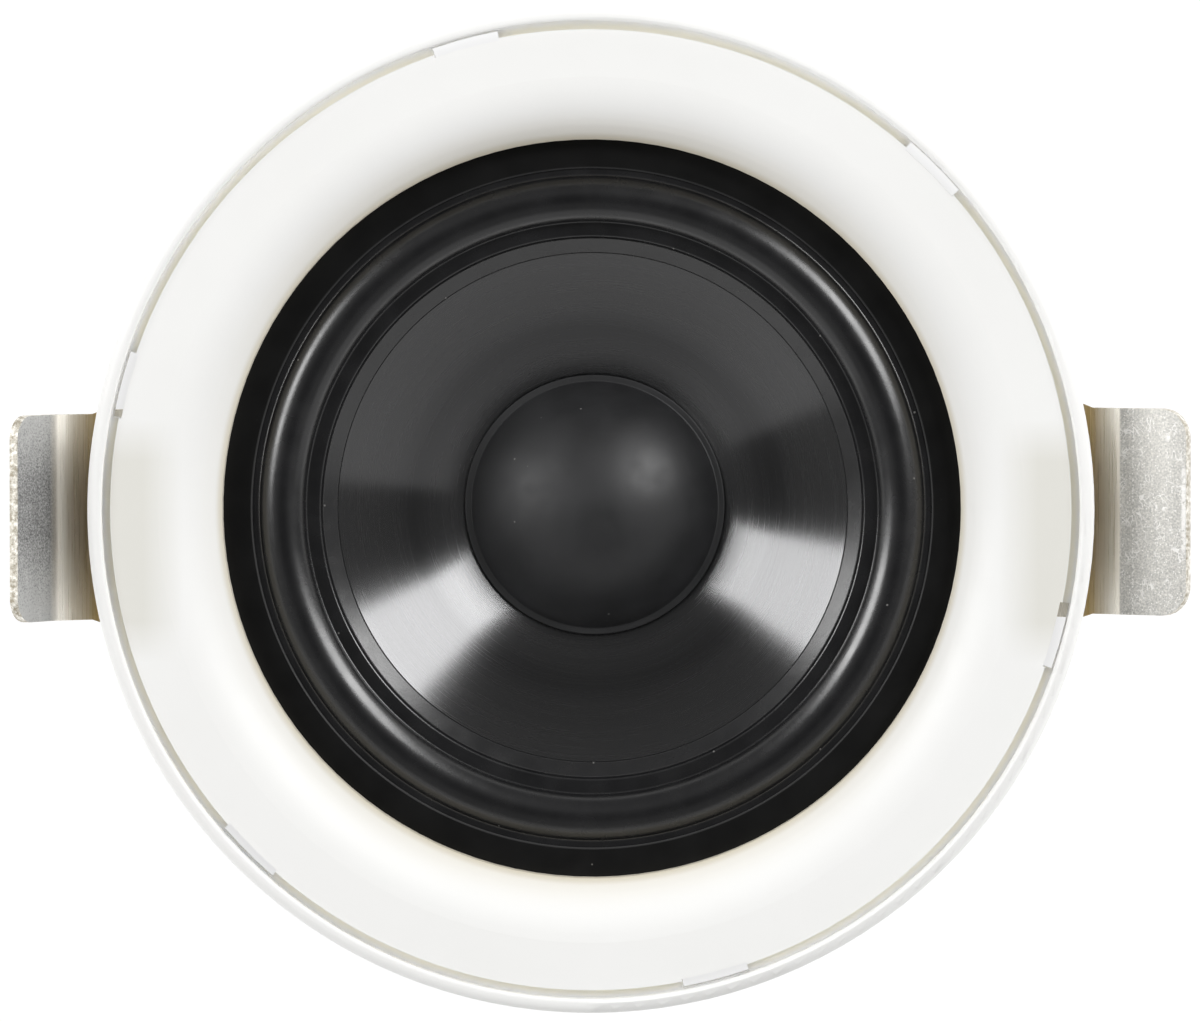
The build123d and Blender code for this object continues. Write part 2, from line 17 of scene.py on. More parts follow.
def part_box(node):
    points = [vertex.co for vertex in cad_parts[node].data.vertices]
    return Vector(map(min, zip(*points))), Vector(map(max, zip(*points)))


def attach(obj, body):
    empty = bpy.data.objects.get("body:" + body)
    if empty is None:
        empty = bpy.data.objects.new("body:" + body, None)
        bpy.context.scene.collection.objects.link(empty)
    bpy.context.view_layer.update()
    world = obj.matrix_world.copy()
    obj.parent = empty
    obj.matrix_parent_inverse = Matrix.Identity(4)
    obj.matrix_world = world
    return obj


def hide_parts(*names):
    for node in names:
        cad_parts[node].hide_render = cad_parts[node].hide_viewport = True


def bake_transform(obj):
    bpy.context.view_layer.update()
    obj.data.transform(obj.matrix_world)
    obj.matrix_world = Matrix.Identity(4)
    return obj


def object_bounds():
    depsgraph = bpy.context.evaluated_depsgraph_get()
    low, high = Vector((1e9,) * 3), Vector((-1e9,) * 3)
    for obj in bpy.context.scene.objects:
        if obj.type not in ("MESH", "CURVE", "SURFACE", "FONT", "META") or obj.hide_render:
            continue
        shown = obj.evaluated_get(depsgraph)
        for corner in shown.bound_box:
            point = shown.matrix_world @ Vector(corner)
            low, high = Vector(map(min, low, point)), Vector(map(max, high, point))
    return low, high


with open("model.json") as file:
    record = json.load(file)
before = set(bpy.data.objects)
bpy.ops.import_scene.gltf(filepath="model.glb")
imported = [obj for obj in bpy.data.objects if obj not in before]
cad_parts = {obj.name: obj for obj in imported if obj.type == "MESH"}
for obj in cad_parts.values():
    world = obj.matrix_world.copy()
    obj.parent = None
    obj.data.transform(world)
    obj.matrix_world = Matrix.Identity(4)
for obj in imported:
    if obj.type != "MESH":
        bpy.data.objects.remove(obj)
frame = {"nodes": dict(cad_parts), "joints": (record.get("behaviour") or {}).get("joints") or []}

mm = 0.001
cad_low, cad_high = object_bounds()
nodes = frame["nodes"]
scene = bpy.context.scene
scene.view_settings.view_transform = "Standard"
print(len(nodes), "solids loaded, spanning", [round(v / mm, 1) for v in cad_high - cad_low], "mm")

# %% [markdown]
# The camera looks almost straight down on the front. In the picture the deep parts sit a little to
# the right of and above the rim's centre, so the real camera stood a little right of and above the
# axis. A long lens from a metre and a half away keeps the circles round. Its length could be tried out
# by eye. It follows from the picture's scale, so it is worked out.

# %% Camera
photo_width = 1200
photo_height = 1022
rim_centre_px = (590.1, 510.6)
metres_per_pixel = 0.1196 * mm
camera_distance = 1.50
lean_right = radians(1.5)
lean_up = radians(2.0)

aim = Vector((
    (photo_width / 2 - rim_centre_px[0]) * metres_per_pixel,
    (rim_centre_px[1] - photo_height / 2) * metres_per_pixel,
    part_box("bezel")[1].z,
))
backwards = Vector((tan(lean_right), tan(lean_up), 1)).normalized()
rightwards = Vector((0, 1, 0)).cross(backwards).normalized()
upwards = backwards.cross(rightwards)
camera = bpy.data.objects.new("camera", bpy.data.cameras.new("camera"))
camera.data.lens = camera.data.sensor_width * camera_distance / (photo_width * metres_per_pixel)
camera.data.dof.use_dof = False
turn = Matrix((rightwards, upwards, backwards)).transposed().to_4x4()
camera.matrix_world = Matrix.Translation(aim + backwards * camera_distance) @ turn
scene.collection.objects.link(camera)
scene.camera = camera
print("camera lens", round(camera.data.lens, 1), "mm")

# %% [markdown]
# Node trees could be laid out by hand in the editor, but a script can be read and run again. They are
# written with a few small helpers. The first makes a node, sets its options, and fills its sockets with
# plain values or with links from other nodes. The others name the sums that come up most, so that a
# tree reads as a list.

# %% Node helpers
def node(tree, kind, sockets=(), **options):
    """Add a node, set its options, and give each named socket a value or a link."""
    made = tree.nodes.new(kind)
    for name, value in options.items():
        setattr(made, name, value)
    for name, value in dict(sockets).items():
        if isinstance(value, bpy.types.NodeSocket):
            tree.links.new(value, made.inputs[name])
        else:
            made.inputs[name].default_value = value
    return made


def math(tree, operation, first, second=0.0, third=0.0):
    """The result of one sum on numbers or sockets."""
    sockets = {0: first, 1: second, 2: third}
    return node(tree, "ShaderNodeMath", sockets, operation=operation).outputs[0]


def product(tree, first, *others):
    """Numbers or sockets multiplied together, as masks are."""
    for other in others:
        first = math(tree, "MULTIPLY", first, other)
    return first


def spread(tree, value, low, high, to_low=0.0, to_high=1.0):
    """Stretch a span of values onto another, held at its ends."""
    sockets = {"Value": value, "From Min": low, "From Max": high,
               "To Min": to_low, "To Max": to_high}
    return node(tree, "ShaderNodeMapRange", sockets).outputs["Result"]


def split(tree, place):
    """The three parts of a place."""
    return node(tree, "ShaderNodeSeparateXYZ", {0: place}).outputs


def reach_from_axis(tree, place):
    """Distance from the speaker's axis."""
    part = split(tree, place)
    across = math(tree, "MULTIPLY", part["X"], part["X"])
    return math(tree, "SQRT", math(tree, "MULTIPLY_ADD", part["Y"], part["Y"], across))


print("node helpers ready")

# %% [markdown]
# The picture's highlights tell where the lamps stood. The cone mirrors what lies across from each
# point, low above the horizon, so its bright wedges place two softboxes behind the speaker. A point
# lamp would make a thin streak, so each lamp is a rectangle, as wide as its wedge asks for.

# %% Lamps
lamp_distance = 2.0
softboxes = {
    "softbox_right": {
        "azimuth": 35.0, "elevation": 36.0, "width": 0.78, "height": 1.31, "radiance": 9.5},
    "softbox_left": {
        "azimuth": 161.0, "elevation": 31.0, "width": 0.81, "height": 1.0, "radiance": 9.7},
}


def lamp(name, azimuth, elevation, width, height, radiance):
    """Rectangular area lamp that faces the middle of the speaker's front."""
    data = bpy.data.lights.new(name, "AREA")
    data.shape = "RECTANGLE"
    data.size = width
    data.size_y = height
    data.energy = radiance * pi * width * height
    made = bpy.data.objects.new(name, data)
    level = radians(elevation)
    facing = radians(azimuth)
    out = Vector((cos(facing) * cos(level), sin(facing) * cos(level), sin(level)))
    made.location = out * lamp_distance
    made.rotation_mode = "QUATERNION"
    made.rotation_quaternion = (-out).to_track_quat("-Z", "Y")
    made.visible_camera = False
    scene.collection.objects.link(made)


for name, place in softboxes.items():
    lamp(name, **place)
print(len(softboxes), "softboxes at", lamp_distance, "m")

# %% [markdown]
# The grey zone in the cone's upper half mirrors a wide pale screen in front. It could be a third lamp.
# As a sector of the sky it has an even tone and soft edges. Else the sky only fills in the shadows: it
# is bright along the horizon, as in a white studio, and dimmest overhead, where the flat black rings
# would mirror it, so they stay deep.

# %% Sky
sky_stops = ((0.0, 1.30), (8.0, 1.05), (15.0, 0.17), (65.0, 0.22), (78.0, 0.07), (90.0, 0.05))
screen_azimuth = radians(-81.5)
screen_half = radians(73.5)
screen_top = radians(42.0)
screen_levels = (0.60, 0.46)
side_blur = 0.02
top_blur = 0.03
sky = bpy.data.worlds.new("sky")
sky.use_nodes = True
tree = sky.node_tree
direction = node(tree, "ShaderNodeTexCoord").outputs["Generated"]
part = split(tree, direction)
ramp = node(tree, "ShaderNodeValToRGB", {"Fac": part["Z"]})
stops = ramp.color_ramp.elements
while len(stops) < len(sky_stops):
    stops.new(1.0)
for stop, (elevation, level) in zip(stops, sky_stops):
    stop.position = sin(radians(elevation))
    stop.color = (level, level, level, 1)
ahead = math(tree, "MULTIPLY", part["Y"], sin(screen_azimuth))
ahead = math(tree, "MULTIPLY_ADD", part["X"], cos(screen_azimuth), ahead)
ahead = math(tree, "DIVIDE", ahead, reach_from_axis(tree, direction))
screen = product(
    tree,
    spread(tree, ahead, cos(screen_half) - side_blur, cos(screen_half) + side_blur),
    spread(tree, part["Z"], sin(screen_top) + top_blur, sin(screen_top) - top_blur),
    spread(tree, ahead, 0.4, 1.0, *screen_levels))
light = math(tree, "ADD", ramp.outputs["Color"], screen)
tree.links.new(light, tree.nodes["Background"].inputs["Color"])
scene.world = sky
print("sky with", len(sky_stops), "stops and a screen")

# %% [markdown]
# A finish is a material with one shader. Its constants are set on the shader's own sockets, and what
# changes over a surface is linked in: masks that run between two places, and colours mixed by them.
# Masks could be painted on. Given in millimetres, they follow the sizes of the part.

# %% Finish helpers
def new_finish(name, **sockets):
    """A material with one Principled shader, whose plain sockets are set here."""
    material = bpy.data.materials.new(name)
    material.use_nodes = True
    tree = material.node_tree
    shader = tree.nodes["Principled BSDF"]
    for socket, value in sockets.items():
        label = socket.replace("_", " ").title().replace("Ior", "IOR")
        shader.inputs[label].default_value = value
    place = node(tree, "ShaderNodeTexCoord").outputs["Object"]
    return material, tree, shader, place


def feed(tree, shader, **links):
    """Link sockets of a shader, named in lower case."""
    for socket, value in links.items():
        tree.links.new(value, shader.inputs[socket.replace("_", " ").title()])


def zone(tree, value, start, end, to_start=0.0, to_end=1.0):
    """A mask that goes from one level to another between two places in mm."""
    return spread(tree, value, start * mm, end * mm, to_start, to_end)


def largest(tree, first, *others):
    """The largest of several numbers or sockets."""
    for other in others:
        first = math(tree, "MAXIMUM", first, other)
    return first


def vectors(tree, operation, sockets):
    """The result of one sum on vectors."""
    return node(tree, "ShaderNodeVectorMath", sockets, operation=operation).outputs[0]


def two_tone(tree, share, first, second):
    """Mix two colours, each three numbers or a socket, by a share."""
    colours = [c if isinstance(c, bpy.types.NodeSocket) else (*c, 1) for c in (first, second)]
    sockets = {0: share, 6: colours[0], 7: colours[1]}
    return node(tree, "ShaderNodeMix", sockets, data_type="RGBA").outputs[2]


print("finish helpers ready")

# %% [markdown]
# The speaker lies on its back on a white table. Stronger lamps could turn the table white, but they
# would burn out the bezel as well. So for rays that see the table, straight or in something shiny, it
# glows up to white and no further. The glow lights nothing, and it fades under the speaker, a little to
# the front and left: a painted shadow, which the slots of the bezel look down on.

# %% White table
table_half = 4.0
table_z = cad_low.z
table_glow = 0.80
shadow_glow = 0.22
shadow_centre = (-1.4 * mm, -1.9 * mm, 0)
shadow_radius = 62.4
shadow_fall = 12.0
table_mesh = bpy.data.meshes.new("table")
corners = [(-table_half, -table_half, table_z), (table_half, -table_half, table_z),
           (table_half, table_half, table_z), (-table_half, table_half, table_z)]
table_mesh.from_pydata(corners, [], [(0, 1, 2, 3)])
table = bpy.data.objects.new("table", table_mesh)
scene.collection.objects.link(table)
table_white, tree, shader, place = new_finish(
    "table_white", roughness=0.9, emission_color=(1, 1, 1, 1))
paths = node(tree, "ShaderNodeLightPath").outputs
seen = largest(tree, paths["Is Camera Ray"], paths["Is Glossy Ray"], paths["Is Transmission Ray"])
away = reach_from_axis(tree, vectors(tree, "SUBTRACT", {0: place, 1: shadow_centre}))
# Painted shadow: the glow fades towards the middle, under the speaker, off-centre to the front and left.
lit = math(tree, "POWER", zone(tree, away, 0.0, shadow_radius), shadow_fall)
glow = product(tree, spread(tree, lit, 0.0, 1.0, shadow_glow, table_glow), seen)
tint = two_tone(tree, seen, (0.8, 0.8, 0.79), (0.34, 0.34, 0.34))
feed(tree, shader, base_color=tint, emission_strength=glow)
table_mesh.materials.append(table_white)
print("table at z", round(table_z / mm, 2), "mm")

# %% [markdown]
# Many parts of a speaker are turned shapes: the roll, the cone and the dust cap all keep one outline
# round the whole turn. The outlines could be typed in, but reading them off the seam of each solid
# keeps the two alike. Their corners are eased as a mould or a lathe would leave them.

# %% Outlines
def seam_outline(name):
    """Outline of a turned solid in mm, walked along the edges on its seam at angle zero."""
    work = bmesh.new()
    work.from_mesh(nodes[name].data)
    bmesh.ops.remove_doubles(work, verts=work.verts, dist=1e-7)
    seam = [v for v in work.verts if abs(v.co.y) < 1e-7 and v.co.x > -1e-7]
    spots = {v: (v.co.x / mm, v.co.z / mm) for v in seam}
    walked = [max(seam, key=lambda v: (v.co.x < 1e-7, v.co.z))]
    while True:
        ways = [edge.other_vert(walked[-1]) for edge in walked[-1].link_edges]
        ways = [v for v in ways if v in spots and v not in walked]
        if not ways:
            break
        walked.append(ways[0])
    outline = [spots[v] for v in walked]
    work.free()
    return outline


def rounded(start, corner, end, steps):
    """Points of a smooth bend that starts and ends on the two sides of a corner."""
    shares = [step / steps for step in range(steps + 1)]
    return [start.lerp(corner, share).lerp(corner.lerp(end, share), share) for share in shares]


def eased(outline, reach, sharp=18.0, steps=4):
    """Round every corner that turns by more than the sharp angle, over at most the reach in mm."""
    smooth = []
    for index, corner in enumerate(outline):
        following = outline[(index + 1) % len(outline)]
        before, here, after = (Vector(p) for p in (outline[index - 1], corner, following))
        run_in, run_out = here - before, after - here
        if here.x < 1e-6 or run_in.angle(run_out) < radians(sharp):
            smooth.append(tuple(here))
            continue
        start = here - run_in.normalized() * min(reach, run_in.length * 0.45)
        end = here + run_out.normalized() * min(reach, run_out.length * 0.45)
        smooth.extend(tuple(spot) for spot in rounded(start, here, end, steps))
    return smooth


print("the cone's outline has", len(seam_outline("cone")), "points")

# %% [markdown]
# The eased outline is turned about the axis again, in finer steps than the solid has. A Screw modifier
# could turn it too. A loop over the rings is chosen because it also gives every face its UVs, round and
# along, which the brushed finish needs.

# %% Lathe
turn_steps = 288


def placed(name, mesh):
    """Put a mesh into the scene at the origin."""
    made = bpy.data.objects.new(name, mesh)
    scene.collection.objects.link(made)
    return made


def lathe(name, outline):
    """Turn a closed outline in mm about Z into a smooth mesh whose UVs run round and along."""
    outline = [Vector(p) * mm for p in outline]
    points, rows, along = [], [], [0.0]
    for index, spot in enumerate(outline + outline[:1]):
        if index:
            along.append(along[-1] + (spot - outline[index - 1]).length)
        if index == len(outline):
            rows.append(rows[0])
            continue
        count = turn_steps if spot.x > 1e-7 else 1
        rows.append([len(points) + turn % count for turn in range(turn_steps + 1)])
        for turn in range(count):
            angle = 2 * pi * turn / turn_steps
            points.append((spot.x * cos(angle), spot.x * sin(angle), spot.y))
    faces, corners = [], []
    for row in range(len(outline)):
        for turn in range(turn_steps):
            ring = ((row, turn), (row, turn + 1), (row + 1, turn + 1), (row + 1, turn))
            face = {rows[level][step]: (step / turn_steps, along[level]) for level, step in ring}
            if len(face) > 2:
                faces.append(tuple(face))
                corners.extend(face.values())
    mesh = bpy.data.meshes.new(name)
    mesh.from_pydata(points, [], faces)
    layer = mesh.uv_layers.new(name="turned")
    layer.data.foreach_set("uv", [value for corner in corners for value in corner])
    work = bmesh.new()
    work.from_mesh(mesh)
    bmesh.ops.recalc_face_normals(work, faces=work.faces)
    work.to_mesh(mesh)
    work.free()
    mesh.shade_smooth()
    mesh.set_sharp_from_angle(angle=radians(40))
    return placed(name, mesh)


print("a lathe with", turn_steps, "steps to the turn")

# %% [markdown]
# Each piece gets one material. On the real speaker the roll and the spider flex: the frame holds them at
# one radius and the cone carries them at the other. Here each is only baked in place, its transform
# moved into its mesh.

# %% Dressing and baking in place
def dress(piece, finish):
    """Give a piece its one material."""
    piece.data.materials.clear()
    piece.data.materials.append(finish)


def soften(piece):
    """Bake the transform of a ring into its mesh."""
    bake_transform(piece)


# %% [markdown]
# Dust settles on every speaker. It could be scattered as tiny meshes, but so many would be slow. Specks
# are drawn with a Voronoi pattern: each cell may hold one small dot near its centre, and a random value
# per cell decides which ones do. Clouds of noise keep a surface from being all of one tone and gloss.

# %% Specks and mottling
def noise(tree, place, scale, detail=2.0, roughness=0.5):
    """Cloudy noise between about 0.3 and 0.7."""
    sockets = {"Vector": place, "Scale": scale, "Detail": detail, "Roughness": roughness}
    return node(tree, "ShaderNodeTexNoise", sockets).outputs["Fac"]


def bump(tree, shader, height, depth):
    """Tilt a shader's normals by a height map of the given depth in metres."""
    tilted = node(tree, "ShaderNodeBump", {"Height": height, "Distance": depth, "Strength": 1.0})
    feed(tree, shader, normal=tilted.outputs["Normal"])


def specks(tree, place, scale, size, share):
    """One where a speck lies: dots of a size in cells, in a share of the cells."""
    cells = node(tree, "ShaderNodeTexVoronoi", {"Vector": place, "Scale": scale}).outputs
    picked = math(tree, "LESS_THAN", split(tree, cells["Color"])["X"], share)
    return product(tree, spread(tree, cells["Distance"], size * 1.4, size), picked)


def mottled(name, dark, light, scale, rough, grain_scale, grain_depth, **sockets):
    """Finish with clouds between two colours, patchy roughness and a fine grain."""
    material, tree, shader, place = new_finish(name, **sockets)
    clouds = spread(tree, noise(tree, place, scale, 4.0), 0.32, 0.68)
    gloss = spread(tree, noise(tree, place, scale * 1.7, 3.0), 0.3, 0.7, *rough)
    feed(tree, shader, base_color=two_tone(tree, clouds, dark, light), roughness=gloss)
    bump(tree, shader, noise(tree, place, grain_scale, 3.0), grain_depth)
    return material, tree, shader, place


print("specks and clouds ready")

# %% [markdown]
# The surround is the rubber roll that lets the cone move and centres its edge. It is moulded in one
# piece with the flange that is clamped under the gasket and the thin lip glued to the cone. The solid's
# own mesh would do from afar, but a long highlight needs finer steps, so the roll is turned again.
# Black rubber is nearly all sheen: a very dark base, a soft highlight and a little dust.

# %% Surround
dust_grey = (0.16, 0.155, 0.15)


def so_far(shader, socket):
    """What a socket of a shader is linked to up to now."""
    return shader.inputs[socket].links[0].from_socket


def black_soft(name, base, rough, dust, **sockets):
    """Dark rubber with a soft sheen and some specks of dust."""
    light = tuple(v * 1.6 for v in base)
    material, tree, shader, place = mottled(
        name, base, light, scale=160, rough=rough, grain_scale=2600, grain_depth=5e-6, **sockets)
    dots = specks(tree, place, scale=620, size=0.065, share=dust)
    feed(tree, shader, base_color=two_tone(tree, dots, so_far(shader, "Base Color"), dust_grey))
    return material, tree, shader, place


rubber = black_soft(
    "black_rubber", (0.006, 0.006, 0.0065), (0.22, 0.30), 0.10, specular_ior_level=0.8)[0]
surround = lathe("surround_roll", eased(seam_outline("surround"), 0.22))
soften(surround)
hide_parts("surround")
dress(surround, rubber)
print("surround with", len(surround.data.polygons), "faces")

# %% [markdown]
# The gasket is a flat die-cut ring, pressed between the bezel and the basket. It is softer and duller
# than the roll, so hardly any light comes back from it. Its inner edge is painted a paler tone: a
# painted highlight where the rounded edge catches light. The edge could be a thin ring of its own. A
# mask by radius does it on one mesh.

# %% Gasket
edge_highlight_span = (41.1, 40.9)
gasket_black, tree, shader, place = black_soft(
    "black_gasket", (0.0025, 0.0025, 0.0025), (0.40, 0.50), 0.06, specular_ior_level=0.22)
# Painted highlight: a paler tone on the gasket's inner edge.
painted_edge_highlight = zone(tree, reach_from_axis(tree, place), *edge_highlight_span)
edge_highlight_tone = two_tone(tree, painted_edge_highlight, so_far(shader, "Base Color"), (0.05, 0.05, 0.05))
feed(tree, shader, base_color=edge_highlight_tone)
gasket = lathe("gasket_ring", eased(seam_outline("front_gasket"), 0.12))
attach(gasket, "housing")
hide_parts("front_gasket")
dress(gasket, gasket_black)
print("gasket with", len(gasket.data.polygons), "faces")

# %% [markdown]
# The cone is thin aluminium, spun to shape, turned fine on the lathe and anodised black. The turning
# leaves circular scratches, and a scratch spreads light across itself and not along itself. That is
# why each lamp makes a bright wedge that points at the middle. Scratches could be modelled, but they
# are finer than a pixel, so the anisotropic shader spreads the light in their place. Its tangent
# follows the UVs, and streaks of roughness and tone break the wedges into lines. Close to the cap the
# base colour is painted brighter: painted light that makes up for the shade the dome casts there.

# %% Cone
streak_change = 1.6
lines_per_metre = 7000.0
painted_cap_span = (22.0, 15.8)
cone_metal, tree, shader, place = new_finish(
    "cone_metal", metallic=1.0, anisotropic=1.0, anisotropic_rotation=0.25)
part = split(tree, place)
reach = reach_from_axis(tree, place)
lines = node(tree, "ShaderNodeCombineXYZ", {
    0: math(tree, "MULTIPLY", math(tree, "DIVIDE", part["X"], reach), streak_change),
    1: math(tree, "MULTIPLY", math(tree, "DIVIDE", part["Y"], reach), streak_change),
    2: math(tree, "MULTIPLY", reach, lines_per_metre)}).outputs[0]
streaks = noise(tree, lines, 1.0, 5.0, 0.65)
tone = spread(tree, streaks, 0.3, 0.7)
turned = two_tone(tree, tone, (0.115, 0.115, 0.116), (0.148, 0.148, 0.15))
# Painted light: the base colour is brighter near the cap, where the dome shades the cone.
painted_cap_light = math(tree, "POWER", zone(tree, reach, *painted_cap_span), 1.8)
feed(tree, shader, base_color=two_tone(tree, painted_cap_light, turned, (0.42, 0.42, 0.424)))
feed(tree, shader, roughness=spread(tree, streaks, 0.3, 0.7, 0.235, 0.285))
feed(tree, shader, tangent=node(
    tree, "ShaderNodeTangent", direction_type="UV_MAP", uv_map="turned").outputs[0])
bump(tree, shader, streaks, 1.5e-6)
cone = lathe("cone_shell", eased(seam_outline("cone"), 0.2))
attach(cone, "cone_assembly")
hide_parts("cone")
dress(cone, cone_metal)
print("cone with", len(cone.data.polygons), "faces")

# %% [markdown]
# The dust cap keeps dirt out of the gap round the coil. It is pressed from soft black sheet with a
# flat rim for the glue. Its dome is dull, and duller on the left, where fingers have rubbed it. That
# side could be painted on. A ramp across the dome is enough, because no edge of it can be seen.

# %% Dust cap
rubbed_span = (3.0, -8.0)
rubbed_dull = 0.13
cap_black, tree, shader, place = black_soft(
    "cap_rubber", (0.0105, 0.0107, 0.0115), (0.44, 0.54), 0.10, specular_ior_level=0.6)
rubbed = zone(tree, split(tree, place)["X"], *rubbed_span, 0.0, rubbed_dull)
feed(tree, shader, roughness=math(tree, "ADD", so_far(shader, "Roughness"), rubbed))
cap = lathe("dust_cap_dome", eased(seam_outline("dust_cap"), 0.16))
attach(cap, "cone_assembly")
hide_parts("dust_cap")
dress(cap, cap_black)
print("dust cap with", len(cap.data.polygons), "faces")

# %% [markdown]
# Behind the cone the spider keeps the coil in the middle of its gap. It is cloth, dipped in resin and
# pressed hot into ripples. Its threads could be woven from curves, but it is only seen through the
# windows of the basket. So the ripples get round crests, and the weave stays in the bump.

# %% Spider
thread_rate = 9000.0


def waves(tree, value, rate):
    """A sine wave along a length, at a rate in radians per metre."""
    return math(tree, "SINE", math(tree, "MULTIPLY", value, rate))


cloth, tree, shader, place = new_finish("spider_cloth", roughness=0.85)
part = split(tree, place)
weave = product(tree, waves(tree, part["X"], thread_rate), waves(tree, part["Y"], thread_rate))
tone = math(tree, "MULTIPLY_ADD", weave, 0.18, noise(tree, place, 140, 4.0))
tone = spread(tree, tone, 0.25, 0.75)
feed(tree, shader, base_color=two_tone(tree, tone, (0.42, 0.27, 0.10), (0.70, 0.50, 0.24)))
bump(tree, shader, weave, 3e-5)
spider = lathe("spider_disc", eased(seam_outline("spider"), 0.85, steps=6))
soften(spider)
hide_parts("spider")
dress(spider, cloth)
print("spider with", len(spider.data.polygons), "faces")

# %% [markdown]
# Springs and leads are wire, and wire follows a path, which is work for Geometry Nodes. The first tree
# sweeps a round section along a curve. A curve with a bevel could do that too, but the tree's last
# steps serve the braid of the leads as well. What a tree makes is kept as a plain mesh.

# %% Wire tree
def wire_sockets(name, **kinds):
    """New node tree that takes a path and named inputs and gives a mesh back."""
    tree = bpy.data.node_groups.new(name, "GeometryNodeTree")
    tree.interface.new_socket("Path", in_out="INPUT", socket_type="NodeSocketGeometry")
    for key, kind in kinds.items():
        label = key.replace("_", " ").title()
        tree.interface.new_socket(label, in_out="INPUT", socket_type="NodeSocket" + kind)
    tree.interface.new_socket("Wire", in_out="OUTPUT", socket_type="NodeSocketGeometry")
    return tree, node(tree, "NodeGroupInput").outputs


def swept(tree, path, radius, sides, finish):
    """Close a wire tree: a round section swept along the path, made real and given its material."""
    section = node(tree, "GeometryNodeCurvePrimitiveCircle", {"Resolution": sides, "Radius": radius})
    tube = node(tree, "GeometryNodeCurveToMesh", {
        "Curve": path, "Profile Curve": section.outputs["Curve"], "Fill Caps": True})
    whole = node(tree, "GeometryNodeRealizeInstances", {"Geometry": tube.outputs["Mesh"]})
    painted = node(tree, "GeometryNodeSetMaterial", {
        "Geometry": whole.outputs["Geometry"], "Material": finish})
    node(tree, "NodeGroupOutput", {"Wire": painted.outputs["Geometry"]})


def grown(name, path, tree, **inputs):
    """Run a wire tree on a path given in mm and keep what it makes as a plain mesh."""
    curve = bpy.data.curves.new(name + "_path", "CURVE")
    curve.dimensions = "3D"
    spline = curve.splines.new("POLY")
    spline.points.add(len(path) - 1)
    for point, spot in zip(spline.points, path):
        point.co = (*(Vector(spot) * mm), 1)
    guide = bpy.data.objects.new(name + "_path", curve)
    scene.collection.objects.link(guide)
    growth = guide.modifiers.new("growth", "NODES")
    growth.node_group = tree
    for item in tree.interface.items_tree:
        key = item.name.lower().replace(" ", "_")
        if key in inputs:
            growth[item.identifier] = inputs[key]
    guide.update_tag()
    bpy.context.view_layer.update()
    ready = guide.evaluated_get(bpy.context.evaluated_depsgraph_get())
    mesh = bpy.data.meshes.new_from_object(ready)
    mesh.name = name
    bpy.data.objects.remove(guide)
    mesh.shade_smooth()
    mesh.set_sharp_from_angle(angle=radians(50))
    return placed(name, mesh)


round_wire, given = wire_sockets("round_wire", wire_radius="Float", sides="Int", finish="Material")
swept(round_wire, given["Path"], given["Wire Radius"], given["Sides"], given["Finish"])
print("wire tree with", len(round_wire.nodes), "nodes")

# %% [markdown]
# Each clip is pushed forwards by a torsion spring. Its coil sits on the hinge pin, one leg stands in
# a hole of the bezel and the other presses on the clip. The path could be drawn by hand. It is worked
# out as a helix with two straight legs, so that the coil is true. On the real speaker it winds up as the
# clip turns. Here it is made at rest and fixed in place.

# %% Clip springs
spring_steel = mottled(
    "spring_steel", (0.34, 0.33, 0.31), (0.56, 0.55, 0.52), scale=700, rough=(0.22, 0.38),
    grain_scale=4000, grain_depth=3e-6, metallic=1.0)[0]
coil_radius = 2.25
coil_pitch = 1.15
coil_turns = 3 + 170 / 360
coil_half = coil_turns * coil_pitch / 2
coil_entry = radians(150)
fixed_leg = 8.6
moving_leg = 12.0
steps_per_turn = 40
spring_wire = {"wire_radius": 0.45 * mm, "sides": 16, "finish": spring_steel}
hinges = {joint["child"]: Vector(joint["pos_m"]) / mm
          for joint in frame["joints"] if joint["type"] == "hinge"}


def spring_path(pivot, side):
    """Coil round a pivot in mm, with a straight leg at each end."""
    path = []
    for step in range(ceil(coil_turns * steps_per_turn) + 1):
        turned = min(step / steps_per_turn, coil_turns)
        angle = coil_entry + 2 * pi * turned
        across = side * coil_radius * cos(angle)
        along = side * (coil_half - coil_pitch * turned)
        path.append(pivot + Vector((across, along, coil_radius * sin(angle))))
    path.insert(0, path[0] + (path[0] - path[1]).normalized() * fixed_leg)
    path.append(path[-1] + (path[-1] - path[-2]).normalized() * moving_leg)
    return path


for name, side in (("right", 1), ("left", -1)):
    pivot = hinges[f"{name}_clip"]
    path = spring_path(pivot, side)
    spring = grown(f"clip_spring_{name}_wire", path, round_wire, **spring_wire)
    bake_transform(spring)
    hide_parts(f"clip_spring_{name}")
    print("spring with", len(spring.data.polygons), "faces at", [round(v, 1) for v in pivot], "mm")

# %% [markdown]
# The leads are braided from thin strands. A bump on a plain tube could pass for a braid, but its outline
# would stay straight. So a second tree lays real strands round a curve. Half of them wind one way and
# half the other, and a wave in their distance from the middle carries them over and under.

